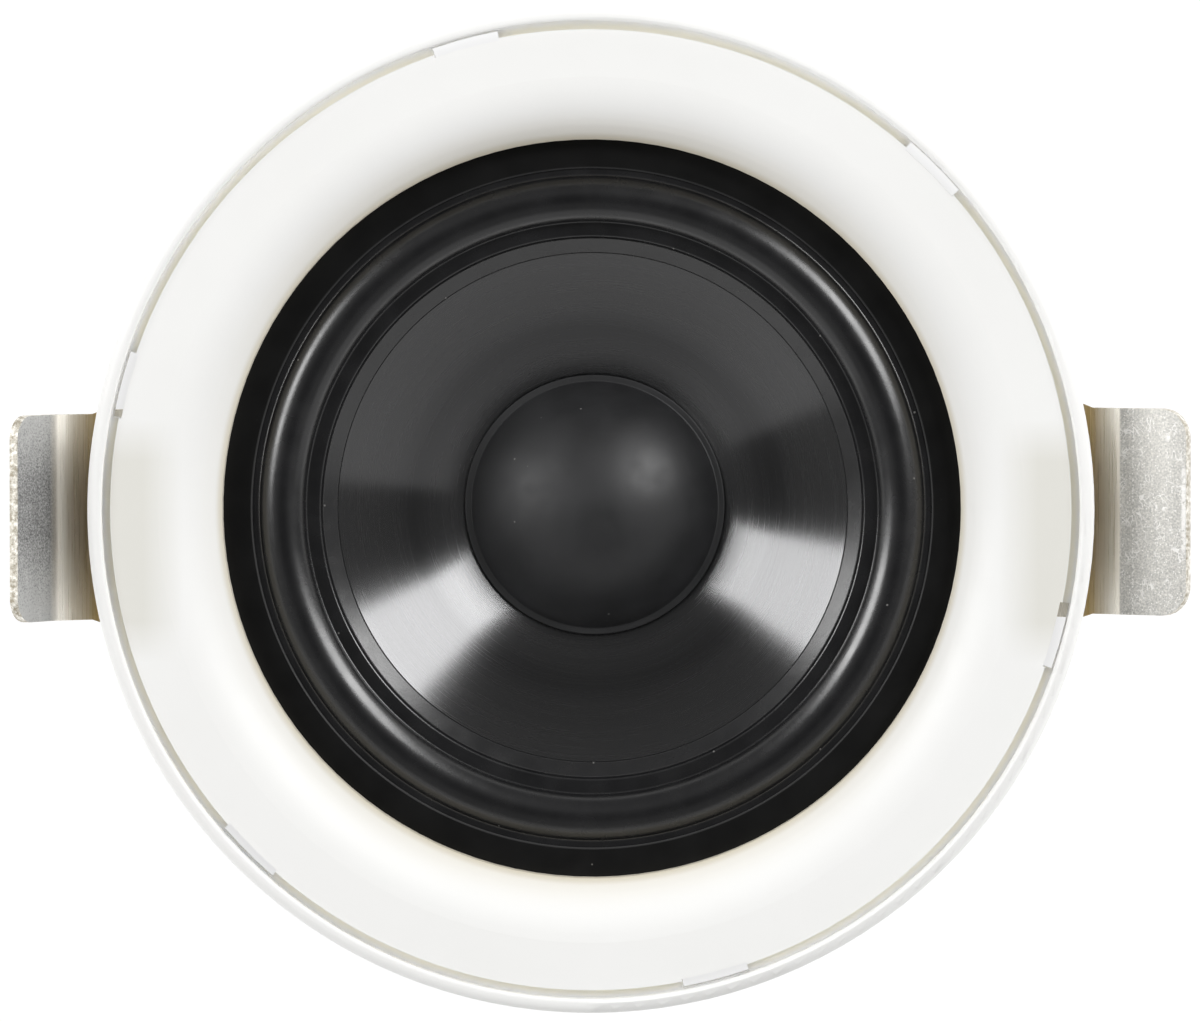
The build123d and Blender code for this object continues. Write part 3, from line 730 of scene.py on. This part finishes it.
# %% Braid tree
strand_sides = 6
braid, given = wire_sockets(
    "braid", steps="Int", strands="Int", turns="Float", braid_radius="Float", weave="Float",
    strand_radius="Float", finish="Material")
fine = node(braid, "GeometryNodeResampleCurve", {"Curve": given["Path"], "Count": given["Steps"]})
copies = node(braid, "GeometryNodeDuplicateElements", {
    "Geometry": fine.outputs[0], "Amount": given["Strands"]}, domain="SPLINE").outputs
share = node(braid, "GeometryNodeSplineParameter").outputs["Factor"]
number = copies["Duplicate Index"]
odd = math(braid, "MODULO", number, 2.0)
pair = math(braid, "FLOOR", math(braid, "DIVIDE", number, 2.0))
hand = math(braid, "MULTIPLY_ADD", odd, -2.0, 1.0)
start = math(braid, "DIVIDE", math(braid, "MULTIPLY", pair, 4 * pi), given["Strands"])
wound = product(braid, share, given["Turns"], 2 * pi)
angle = math(braid, "MULTIPLY_ADD", wound, hand, start)
pairs = math(braid, "DIVIDE", given["Strands"], 2.0)
crossing = math(braid, "COSINE", math(braid, "MULTIPLY", wound, pairs))
out = math(braid, "ADD", given["Braid Radius"], product(braid, crossing, hand, given["Weave"]))
normal = node(braid, "GeometryNodeInputNormal").outputs["Normal"]
forward = node(braid, "GeometryNodeInputTangent").outputs["Tangent"]
side = vectors(braid, "CROSS_PRODUCT", {0: forward, 1: normal})
by_normal, by_side = (
    vectors(braid, "SCALE", {0: way, "Scale": product(braid, out, math(braid, wave, angle))})
    for way, wave in ((normal, "COSINE"), (side, "SINE")))
offset = vectors(braid, "ADD", {0: by_normal, 1: by_side})
strand = node(braid, "GeometryNodeSetPosition", {"Geometry": copies["Geometry"], "Offset": offset})
swept(braid, strand.outputs[0], given["Strand Radius"], strand_sides, given["Finish"])
print("braid tree with", len(braid.nodes), "nodes")

# %% [markdown]
# The leads carry the current to the moving cone. They are tinsel, thin copper foil on thread, braided
# so that they bend without breaking. They loop from the solder eyes on the board to the back of the
# cone, and bend between the two. A formula could give the loop, but leads keep the bends that a hand
# gave them, so the route is a few points with rounded corners.

# %% Tinsel leads
copper = mottled(
    "tinsel_braid", (0.50, 0.27, 0.14), (0.72, 0.46, 0.28), scale=900, rough=(0.28, 0.5),
    grain_scale=6000, grain_depth=4e-6, metallic=1.0)[0]
lead_braid = {"steps": 320, "strands": 8, "turns": 11.0, "braid_radius": 0.34 * mm,
              "weave": 0.06 * mm, "strand_radius": 0.115 * mm, "finish": copper}
above_tab = Vector((0, 0, 0.5))
from_tab = ((0, -2.2, 0), (-0.4, 0.4, 0.6), (-1.2, 3.8, 3.6), (-2.2, 8.4, 4.8))
to_cone = (0.8, -3.8, -1.6)
cone_joint = Vector((5.0, -22.6, -13.13))
bend_steps = 8
tab_low, tab_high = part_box("terminal_tab_wide")
tab_end = Vector(((tab_low.x + tab_high.x) / 2, tab_high.y, tab_high.z)) / mm + above_tab
route = [tab_end + Vector(step) for step in from_tab]
route += [cone_joint + Vector(to_cone), cone_joint]
lead_line = [route[0]]
for before, corner, after in zip(route, route[1:], route[2:]):
    bend = 0.45 * min((corner - before).length, (after - corner).length)
    start = corner + (before - corner).normalized() * bend
    end = corner + (after - corner).normalized() * bend
    lead_line.extend(rounded(start, corner, end, bend_steps))
lead_line.append(route[-1])
for name, side in (("right", 1), ("left", -1)):
    path = [Vector((side * spot.x, spot.y, spot.z)) for spot in lead_line]
    lead = grown(f"tinsel_lead_{name}_braid", path, braid, **lead_braid)
    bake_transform(lead)
    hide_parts(f"tinsel_lead_{name}")
    print("lead with", len(lead.data.polygons), "faces")

# %% [markdown]
# The clips are blanked from plated strip, bent and rolled round their pins. They could be bent anew from
# a flat strip, but the solid already has the right shape. Its mesh is copied and joined up, and a small
# bevel breaks the corners so that they catch light. The faces that the press sheared are marked,
# because they look torn.

# %% Clip edges
edge_break = 0.12
sheared_from = 56


def broken_edges(name, tab_angle):
    """Copy of a clip's mesh, joined up, its corners bevelled and its sheared faces marked."""
    work = bmesh.new()
    work.from_mesh(nodes[name].data)
    bmesh.ops.remove_doubles(work, verts=work.verts, dist=1e-6)
    bmesh.ops.dissolve_limit(work, angle_limit=radians(1.0), verts=work.verts, edges=work.edges)
    corners = [edge for edge in work.edges
               if edge.is_manifold and edge.calc_face_angle() > radians(40)]
    bmesh.ops.bevel(work, geom=corners, offset=edge_break * mm, segments=2, profile=0.6,
                    affect="EDGES", clamp_overlap=True)
    bmesh.ops.recalc_face_normals(work, faces=work.faces)
    torn = work.faces.layers.float.new("torn")
    for face in work.faces:
        middle = face.calc_center_median()
        outwards = 1 if middle.x > 0 else -1
        along = Vector((outwards * cos(tab_angle), 0, sin(tab_angle)))
        sheared = abs(face.normal.y) > 0.3 or face.normal.dot(along) > 0.6
        face[torn] = float(sheared and abs(middle.x) > sheared_from * mm)
    mesh = bpy.data.meshes.new(name)
    work.to_mesh(mesh)
    work.free()
    mesh.shade_smooth()
    mesh.set_sharp_from_angle(angle=radians(30))
    return placed(name + "_plated", mesh)


print("edges broken by", edge_break, "mm")

# %% [markdown]
# The strip is bright and smooth, and mirrors the flange in front of it. Its brown by the flange is a
# painted reflection of the flange's shaded underside, laid into the base colour. The tabs got rough in
# the press and in use: their faces are matt and scratched, with a scored line beside the crease, and the
# sheared edges are torn and glint. Painted glints and a painted highlight across the tip lie on the tab
# as well. Strip and tab could have a material each. One finish that reads how far out a point lies lets
# them meet softly at the crease.

# %% Clip finish
score_beyond_crease = 1.55
score_width = (0.11, 0.05)
tip_highlight_before_tip = 0.9
tip_highlight_width = (0.36, 0.16)
tip_highlight_length = (6.0, 4.4)
flange_edge = 59.8
below_flange = (59.4, 57.6)
painted_end_span = (3, 12)
painted_flange_reflection = (0.47, 0.34, 0.15)
zinc_bright = (1.0, 0.96, 0.88)
zinc_below = (0.62, 0.59, 0.52)
bare_steel = (0.95, 0.94, 0.92)
torn_tones = ((0.42, 0.38, 0.30), (0.95, 0.93, 0.88))


def apart(tree, value, centre):
    """How far a value lies from a centre in mm, to either side."""
    return math(tree, "ABSOLUTE", math(tree, "SUBTRACT", value, centre * mm))


def tab_marks(tree, place, out, across, grit, chips, crease, tip):
    """A tab's scratches alone, and all its marks: scratches, painted glints, scored line, painted tip
    highlight.
    """
    # Painted glints: bright specks in the base colour.
    glints = specks(tree, place, scale=4600, size=0.34, share=0.14)
    sway = node(tree, "ShaderNodeTexNoise", {"Vector": place, "Scale": 260.0}).outputs["Color"]
    swayed = vectors(tree, "MULTIPLY_ADD", {0: sway, 1: (0.006, 0.006, 0.006), 2: place})
    cells = node(tree, "ShaderNodeTexVoronoi", {"Vector": swayed, "Scale": 1000.0},
                 feature="DISTANCE_TO_EDGE").outputs["Distance"]
    patches = spread(tree, noise(tree, place, 480), 0.5, 0.62)
    scratch = product(tree, spread(tree, cells, 0.075, 0.03), patches)
    score = zone(tree, apart(tree, out, crease + score_beyond_crease), *score_width)
    score = product(tree, score, spread(tree, grit, 0.48, 0.54))
    # Painted highlight: a bright band across the tab just short of its tip.
    tip_highlight = zone(tree, apart(tree, out, tip - tip_highlight_before_tip), *tip_highlight_width)
    tip_highlight = product(tree, tip_highlight, zone(tree, across, *tip_highlight_length), spread(tree, chips, 0.40, 0.50))
    return scratch, largest(tree, glints, scratch, score, tip_highlight)


def clip_finish(name, crease, tip, fade, dark, light, painted_end_light, sparkle):
    """Bright strip up to the crease, a matt scratched tab beyond it, and torn glinting edges."""
    material, tree, shader, place = new_finish(name, metallic=1.0)
    part = split(tree, place)
    out = math(tree, "ABSOLUTE", part["X"])
    across = math(tree, "ABSOLUTE", part["Y"])
    beyond = zone(tree, out, crease - fade, crease + fade)
    torn = node(tree, "ShaderNodeAttribute", attribute_name="torn").outputs["Fac"]
    drawn = node(tree, "ShaderNodeMapping", {"Vector": place, "Scale": (6000, 90, 6000)})
    rolled = noise(tree, drawn.outputs[0], 1.0, 3.0)
    grit = noise(tree, place, 4200, 4.0, 0.7)
    chips = noise(tree, place, 1500, 5.0, 0.75)
    scratch, marks = tab_marks(tree, place, out, across, grit, chips, crease, tip)
    # Painted reflection: the strip is brown by the flange, as if mirroring its shaded underside, and
    # pales towards the crease; rolled streaks run through it.
    reflection_fade = zone(tree, out, flange_edge, crease - 1.0, -0.3, 0.7)
    near = math(tree, "MULTIPLY_ADD", rolled, 0.6, reflection_fade)
    strip = two_tone(tree, near, painted_flange_reflection, zinc_bright)
    strip = two_tone(tree, zone(tree, out, *below_flange), strip, zinc_below)
    # Painted light: the tab's face is paler towards its ends, as if they mirrored what lies past the
    # bezel.
    ends = zone(tree, across, *painted_end_span, 0.0, painted_end_light)
    face = two_tone(tree, math(tree, "ADD", spread(tree, grit, 0.36, 0.66), ends), dark, light)
    # The marks, scaled by sparkle, turn the face to bare steel: real scratches and the scored line, with
    # painted glints and the painted tip highlight.
    face = two_tone(tree, product(tree, marks, sparkle), face, bare_steel)
    edge = two_tone(tree, spread(tree, chips, 0.38, 0.62), *torn_tones)
    colour = two_tone(tree, torn, two_tone(tree, beyond, strip, face), edge)
    shine = spread(tree, rolled, 0.3, 0.7, 0.24, 0.36)
    matt = spread(tree, grit, 0.3, 0.7, 0.62, 0.76)
    gloss = node(tree, "ShaderNodeMix", {0: beyond, 2: shine, 3: matt}).outputs[0]
    feed(tree, shader, base_color=colour, roughness=gloss)
    height = product(tree, math(tree, "MULTIPLY_ADD", scratch, -0.6, grit), beyond)
    height = math(tree, "MULTIPLY_ADD", product(tree, chips, torn), 2.5, height)
    bump(tree, shader, height, 3e-5)
    return material


print("clip finish ready")

# %% [markdown]
# The two clips are of one kind, but they stand at different angles. The right tab faces the light and
# glints: its strong sparkle gives painted glints and a painted tip highlight as well as real scratches.
# The left one is turned away: its darker tones are painted shade, and its paler ends painted light. A
# mirrored copy could stand in for one of them, but it would look too alike, so each has its own values.

# %% Clips
tab_angles = {"right": radians(29), "left": radians(61)}
clip_looks = {
    "right": {
        "crease": 63.4, "fade": 0.1, "dark": (0.48, 0.475, 0.455), "light": (0.86, 0.845, 0.805),
        "painted_end_light": 0.0, "sparkle": 0.9},
    # The left tab's darker tones are painted shade, as it is turned from the lamps, and its paler ends
    # are painted light.
    "left": {
        "crease": 64.55, "fade": 0.45, "dark": (0.14, 0.14, 0.142), "light": (0.56, 0.56, 0.55),
        "painted_end_light": 0.6, "sparkle": 0.12},
}
for name, looks in clip_looks.items():
    clip = broken_edges(f"clip_{name}", tab_angles[name])
    low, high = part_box(f"clip_{name}")
    tip = max(abs(low.x), abs(high.x)) / mm
    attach(clip, f"{name}_clip")
    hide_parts(f"clip_{name}")
    dress(clip, clip_finish(f"clip_steel_{name}", tip=tip, **looks))
    print("clip with", len(clip.data.polygons), "faces")

# %% [markdown]
# The bezel is moulded in warm white plastic with a satin skin. The plastic lets a little light
# through: where the groove and the funnel fold in, light that crossed it comes out yellower, and the
# steel clips behind the ledge cast soft grey shadows through it. Scattering could give all of it, but
# it is slow and noisy. It is kept for the groove. On top of it, shade is painted into the base colour by
# place, from the object's own coordinates: painted shade in the groove, on the funnel's top and bottom
# and round the opening's edge, and painted shadows of the clips on the ledge.

# %% Bezel
groove_inner, groove_outer, groove_level = (57.5, 57.58), (58.66, 58.5), (4.6, 3.9)
groove_wall = (58.45, 57.9)
funnel_level, funnel_reach = (3.6, 0.5), (49.5, 46.5)
funnel_top_and_bottom = (15.0, 42.0)
funnel_ring_pitch = 0.85
edge_shade_reach, edge_shade_level = (45.2, 44.5), (1.5, 0.3)
clip_shadow_middle = -3.7
clip_shadow_half, clip_shadow_reach = (14.6, 9.6), (48.8, 53.6)
ledge_reach, ledge_level = (57.7, 57.4), (3.0, 4.0)
white, tree, shader, place = new_finish(
    "white_plastic", specular_ior_level=0.4, subsurface_radius=(1.0, 0.97, 0.90),
    subsurface_scale=6.0 * mm)
part = split(tree, place)
level = part["Z"]
reach = reach_from_axis(tree, place)
in_groove = product(
    tree, zone(tree, reach, *groove_inner), zone(tree, reach, *groove_outer),
    zone(tree, level, *groove_level))
in_funnel = product(tree, zone(tree, level, *funnel_level), zone(tree, reach, *funnel_reach))
# Painted shade: a dark beige round the opening's edge.
painted_edge_shade = product(tree, zone(tree, reach, *edge_shade_reach), zone(tree, level, *edge_shade_level))
# Painted shadows of the clips on the ledge, a little below each clip.
behind = product(
    tree, zone(tree, apart(tree, part["Y"], clip_shadow_middle), *clip_shadow_half),
    zone(tree, math(tree, "ABSOLUTE", part["X"]), *clip_shadow_reach),
    zone(tree, reach, *ledge_reach), zone(tree, level, *ledge_level))
# Painted shade on the funnel, strongest at its top and bottom.
funnel_shade_weight = zone(tree, math(tree, "ABSOLUTE", part["Y"]), *funnel_top_and_bottom, 0.25, 1.0)
# Painted shade: beige in the groove, towards its inner side.
groove_shade_wall = zone(tree, reach, *groove_wall)
clouds = spread(tree, noise(tree, place, 60, 3.0), 0.3, 0.7)
tone = two_tone(tree, clouds, (0.885, 0.882, 0.866), (0.90, 0.898, 0.883))
# Each tint is painted shade or painted shadow, laid into the base colour.
for share, tint in (
    (product(tree, in_funnel, funnel_shade_weight, 0.9), (0.84, 0.81, 0.735)),
    (product(tree, painted_edge_shade, 0.7), (0.66, 0.60, 0.46)),
    (product(tree, in_groove, groove_shade_wall), (0.97, 0.905, 0.795)),
    (behind, (0.76, 0.75, 0.70)),
):
    tone = two_tone(tree, share, tone, tint)
gloss = spread(tree, noise(tree, place, 300, 3.0), 0.3, 0.7, 0.42, 0.52)
feed(tree, shader, base_color=tone, subsurface_weight=in_groove, roughness=gloss)
rings = product(tree, waves(tree, reach, 2 * pi / (funnel_ring_pitch * mm)), in_funnel)
bump(tree, shader, math(tree, "ADD", noise(tree, place, 1400, 3.0), rings), 5e-6)
dress(nodes["bezel"], white)
print("bezel dressed")

# %% [markdown]
# The rest sits behind the bezel and keeps its own mesh. The basket is stamped steel with black paint,
# the motor's plates are zinc plated and turned, the magnet is sintered ferrite, and the terminals sit
# on a board of brown paper laminate. Each could have a tree of its own. Little of them shows, so one
# helper makes them all: two tones with clouds and a grain.

# %% Finishes behind
turning_rate = 22000.0
wire_pitch = 0.28
# Dark tone, light tone, scale of the clouds, roughness from and to, scale and depth of the grain
looks_behind = {
    "black_paint": ((0.016, 0.016, 0.017), (0.03, 0.03, 0.032), 90, (0.32, 0.46), 900, 2.5e-5),
    "ferrite": ((0.045, 0.045, 0.048), (0.10, 0.10, 0.105), 500, (0.5, 0.75), 2400, 2e-5),
    "phenolic_board": ((0.22, 0.10, 0.04), (0.40, 0.21, 0.09), 420, (0.35, 0.5), 1800, 8e-6),
    "tinned_brass": ((0.56, 0.54, 0.48), (0.80, 0.78, 0.72), 380, (0.2, 0.4), 2600, 6e-6),
    "pin_steel": ((0.46, 0.45, 0.42), (0.66, 0.65, 0.61), 450, (0.2, 0.36), 3000, 4e-6),
    "screw_steel": ((0.035, 0.035, 0.038), (0.08, 0.08, 0.085), 600, (0.3, 0.5), 3000, 8e-6),
    "former_foil": ((0.62, 0.62, 0.63), (0.80, 0.80, 0.81), 300, (0.16, 0.3), 1500, 5e-6),
    "zinc_steel": ((0.50, 0.50, 0.48), (0.66, 0.66, 0.64), 120, (0.26, 0.42), 2000, 3e-6),
    "copper_wire": ((0.42, 0.15, 0.05), (0.66, 0.28, 0.11), 300, (0.2, 0.34), 2000, 2e-6),
}
metal_shares = {"black_paint": 0.0, "ferrite": 0.0, "phenolic_board": 0.0, "screw_steel": 0.6}
finishes = {name: mottled(name, *looks, metallic=metal_shares.get(name, 1.0))
            for name, looks in looks_behind.items()}
zinc, tree, shader, place = finishes["zinc_steel"]
bump(tree, shader, waves(tree, reach_from_axis(tree, place), turning_rate), 6e-6)
winding, tree, shader, place = finishes["copper_wire"]
bump(tree, shader, waves(tree, split(tree, place)["Z"], 2 * pi / (wire_pitch * mm)), 6e-5)
print(len(finishes), "finishes with", zinc.name, "and", winding.name, "ridged")

# %% [markdown]
# The finishes go on by name, which is also the name of the slot. Each part could have a material of
# its own, but parts of one stock, such as the pins and the rivet, share theirs as in the workshop.

# %% Parts behind
parts_behind = {
    "black_paint": ("basket",),
    "zinc_steel": ("top_plate", "back_plate"),
    "ferrite": ("magnet",),
    "phenolic_board": ("terminal_board",),
    "tinned_brass": ("terminal_tab_wide", "terminal_tab_narrow"),
    "pin_steel": ("terminal_rivet", "clip_pin_right", "clip_pin_left"),
    "screw_steel": ("driver_screws",),
    "former_foil": ("coil_former",),
    "copper_wire": ("coil_winding",),
}
for slot, names in parts_behind.items():
    for name in names:
        dress(nodes[name], finishes[slot][0])
print(sum(map(len, parts_behind.values())), "parts behind dressed")
